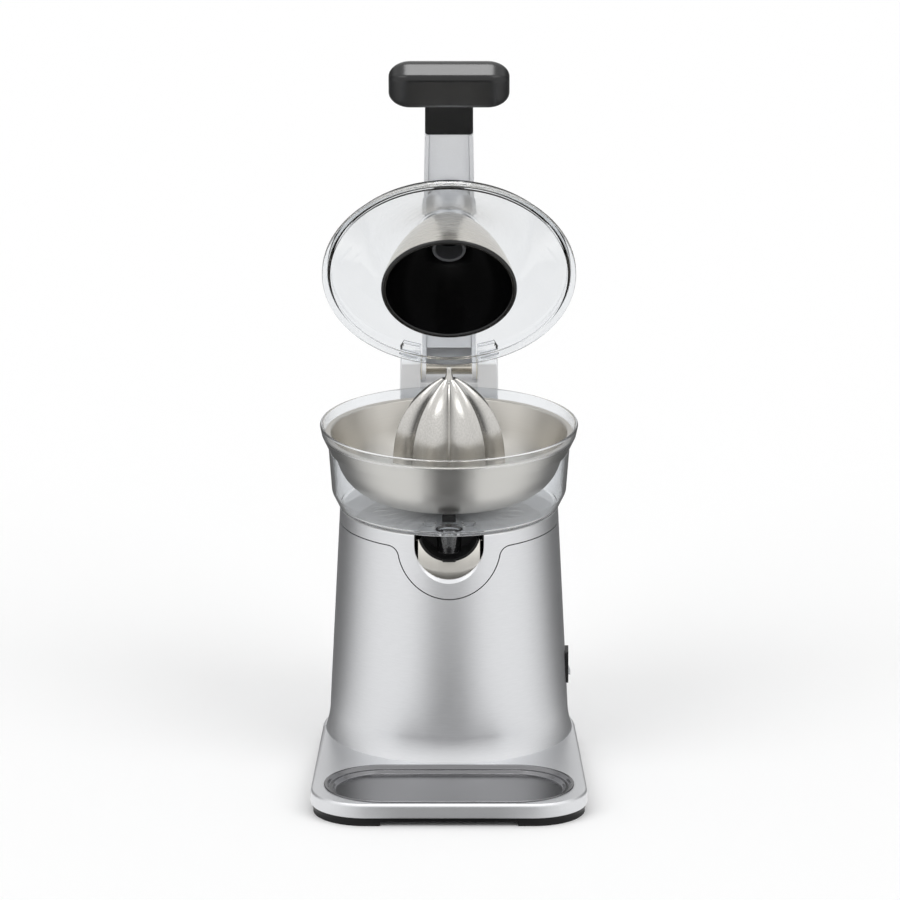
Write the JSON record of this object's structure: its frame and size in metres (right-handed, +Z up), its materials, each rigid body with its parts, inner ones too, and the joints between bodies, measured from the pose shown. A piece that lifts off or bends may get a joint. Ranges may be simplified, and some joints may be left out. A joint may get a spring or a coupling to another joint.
{
  "type": "citrus press juicer",
  "caption": "Electric citrus press: hinged lever with a dome and clear lid over a fluted cone, strainer and bowl on a motor stand with a tilting spout and drip tray.",
  "frame": {"origin": "centre of the standing object's box, on the table", "axes": "+Z up, -Y towards the user, +X to the user's right with the spout facing the user"},
  "size_m": [0.2022, 0.3508, 0.5075],
  "materials": {
    "satin_silver_paint": "satin metallic silver paint over cast aluminium",
    "brushed_stainless_steel": "brushed stainless sheet",
    "polished_cast_alloy": "polished casting",
    "ground_steel": "ground bright",
    "zinc_screws": "zinc plated",
    "clear_plastic": "clear polished moulding",
    "black_plastic": "fine satin moulding",
    "soft_black_rubber": "soft-touch matte",
    "white_gear_plastic": "natural acetal",
    "grey_switch_plastic": "light grey moulding",
    "motor_steel": "varnished laminations",
    "cast_aluminium": "die cast",
    "copper_winding": "enamelled wire, laced",
    "bronze": "sintered",
    "spring_steel": "drawn wire"
  },
  "bodies": {
    "stand": {"base_plate": "satin_silver_paint", "bottom_cover": "black_plastic", "rubber_feet": "soft_black_rubber", "bottom_screws": "zinc_screws", "main_body": "satin_silver_paint", "top_collar": "satin_silver_paint", "spout_liner": "black_plastic", "spout_pin": "ground_steel", "juice_bowl": "clear_plastic", "outlet_gate": "soft_black_rubber", "strainer": "brushed_stainless_steel", "shaft_seal": "soft_black_rubber", "idler_axle": "ground_steel", "output_bearings": "ground_steel", "gearbox_housing": "white_gear_plastic", "gearbox_cover": "white_gear_plastic", "gearbox_screws": "zinc_screws", "micro_switch": "black_plastic", "motor_lower_bracket": "cast_aluminium", "motor_upper_bracket": "cast_aluminium", "motor_mounts": "soft_black_rubber", "mount_screws": "zinc_screws", "motor_bolts": "zinc_screws", "motor_stator": "motor_steel", "motor_windings": "copper_winding", "motor_bearings": "ground_steel", "hinge_column": "satin_silver_paint", "column_cover": "satin_silver_paint", "cord_gland": "soft_black_rubber", "hinge_pin": "ground_steel", "hinge_washers": "white_gear_plastic", "switch_bezel": "black_plastic"},
    "drip_tray": {"drip_tray": "brushed_stainless_steel"},
    "lever": {"lever_arm": "satin_silver_paint", "hinge_bushes": "bronze", "arm_cover": "satin_silver_paint", "handle_neck": "black_plastic", "handle_grip": "soft_black_rubber", "handle_screws": "zinc_screws", "dome_boss": "satin_silver_paint", "dome_stud": "ground_steel", "press_dome": "brushed_stainless_steel", "dome_liner": "black_plastic", "dome_hub": "black_plastic", "lid": "clear_plastic"},
    "spout": {"spout_trough": "black_plastic", "spout_skirt": "brushed_stainless_steel"},
    "rocker": {"rocker": "grey_switch_plastic"},
    "rotor": {"rotor_shaft": "ground_steel", "rotor_core": "motor_steel", "motor_pinion": "ground_steel", "cooling_fan": "white_gear_plastic"},
    "idler": {"idler_gear": "white_gear_plastic"},
    "output": {"output_gear": "white_gear_plastic", "press_spring": "spring_steel"},
    "spindle": {"drive_shaft": "ground_steel", "reamer": "polished_cast_alloy"}
  },
  "joints": [
    {"name": "lever_hinge", "type": "hinge", "parent": "stand", "child": "lever", "pos_m": [0, 0.1146, 0.2626], "axis": [1, 0, 0], "range_deg": [0, 62]},
    {"name": "spout_tilt", "type": "hinge", "parent": "stand", "child": "spout", "pos_m": [0, -0.0174, 0.17], "axis": [1, 0, 0], "range_deg": [0, 18]},
    {"name": "rocker_tilt", "type": "hinge", "parent": "stand", "child": "rocker", "pos_m": [0.08196, 0.0126, 0.065], "axis": [0, 1, 0], "range_deg": [0, 18]},
    {"name": "tray_lift", "type": "slide", "parent": "stand", "child": "drip_tray", "axis": [0, 0, 1], "range_m": [0, 0.03]},
    {"name": "rotor_spin", "type": "hinge", "parent": "stand", "child": "rotor", "pos_m": [0, 0.0126, 0.046], "axis": [0, 0, 1], "continuous": true},
    {"name": "idler_spin", "type": "hinge", "parent": "stand", "child": "idler", "pos_m": [0, 0.0486, 0.11], "axis": [0, 0, 1], "continuous": true},
    {"name": "output_spin", "type": "hinge", "parent": "stand", "child": "output", "pos_m": [0, 0.0126, 0.122], "axis": [0, 0, 1], "continuous": true},
    {"name": "press_start", "type": "slide", "parent": "output", "child": "spindle", "axis": [0, 0, -1], "range_m": [0, 0.0025], "stiffness_N_per_m": 6000, "springref_m": -0.002, "deforming": ["press_spring"]}
  ],
  "couplings": [
    {"joint": "idler_spin", "follows": "rotor_spin", "ratio": -0.2},
    {"joint": "output_spin", "follows": "rotor_spin", "ratio": 0.066667}
  ]
}
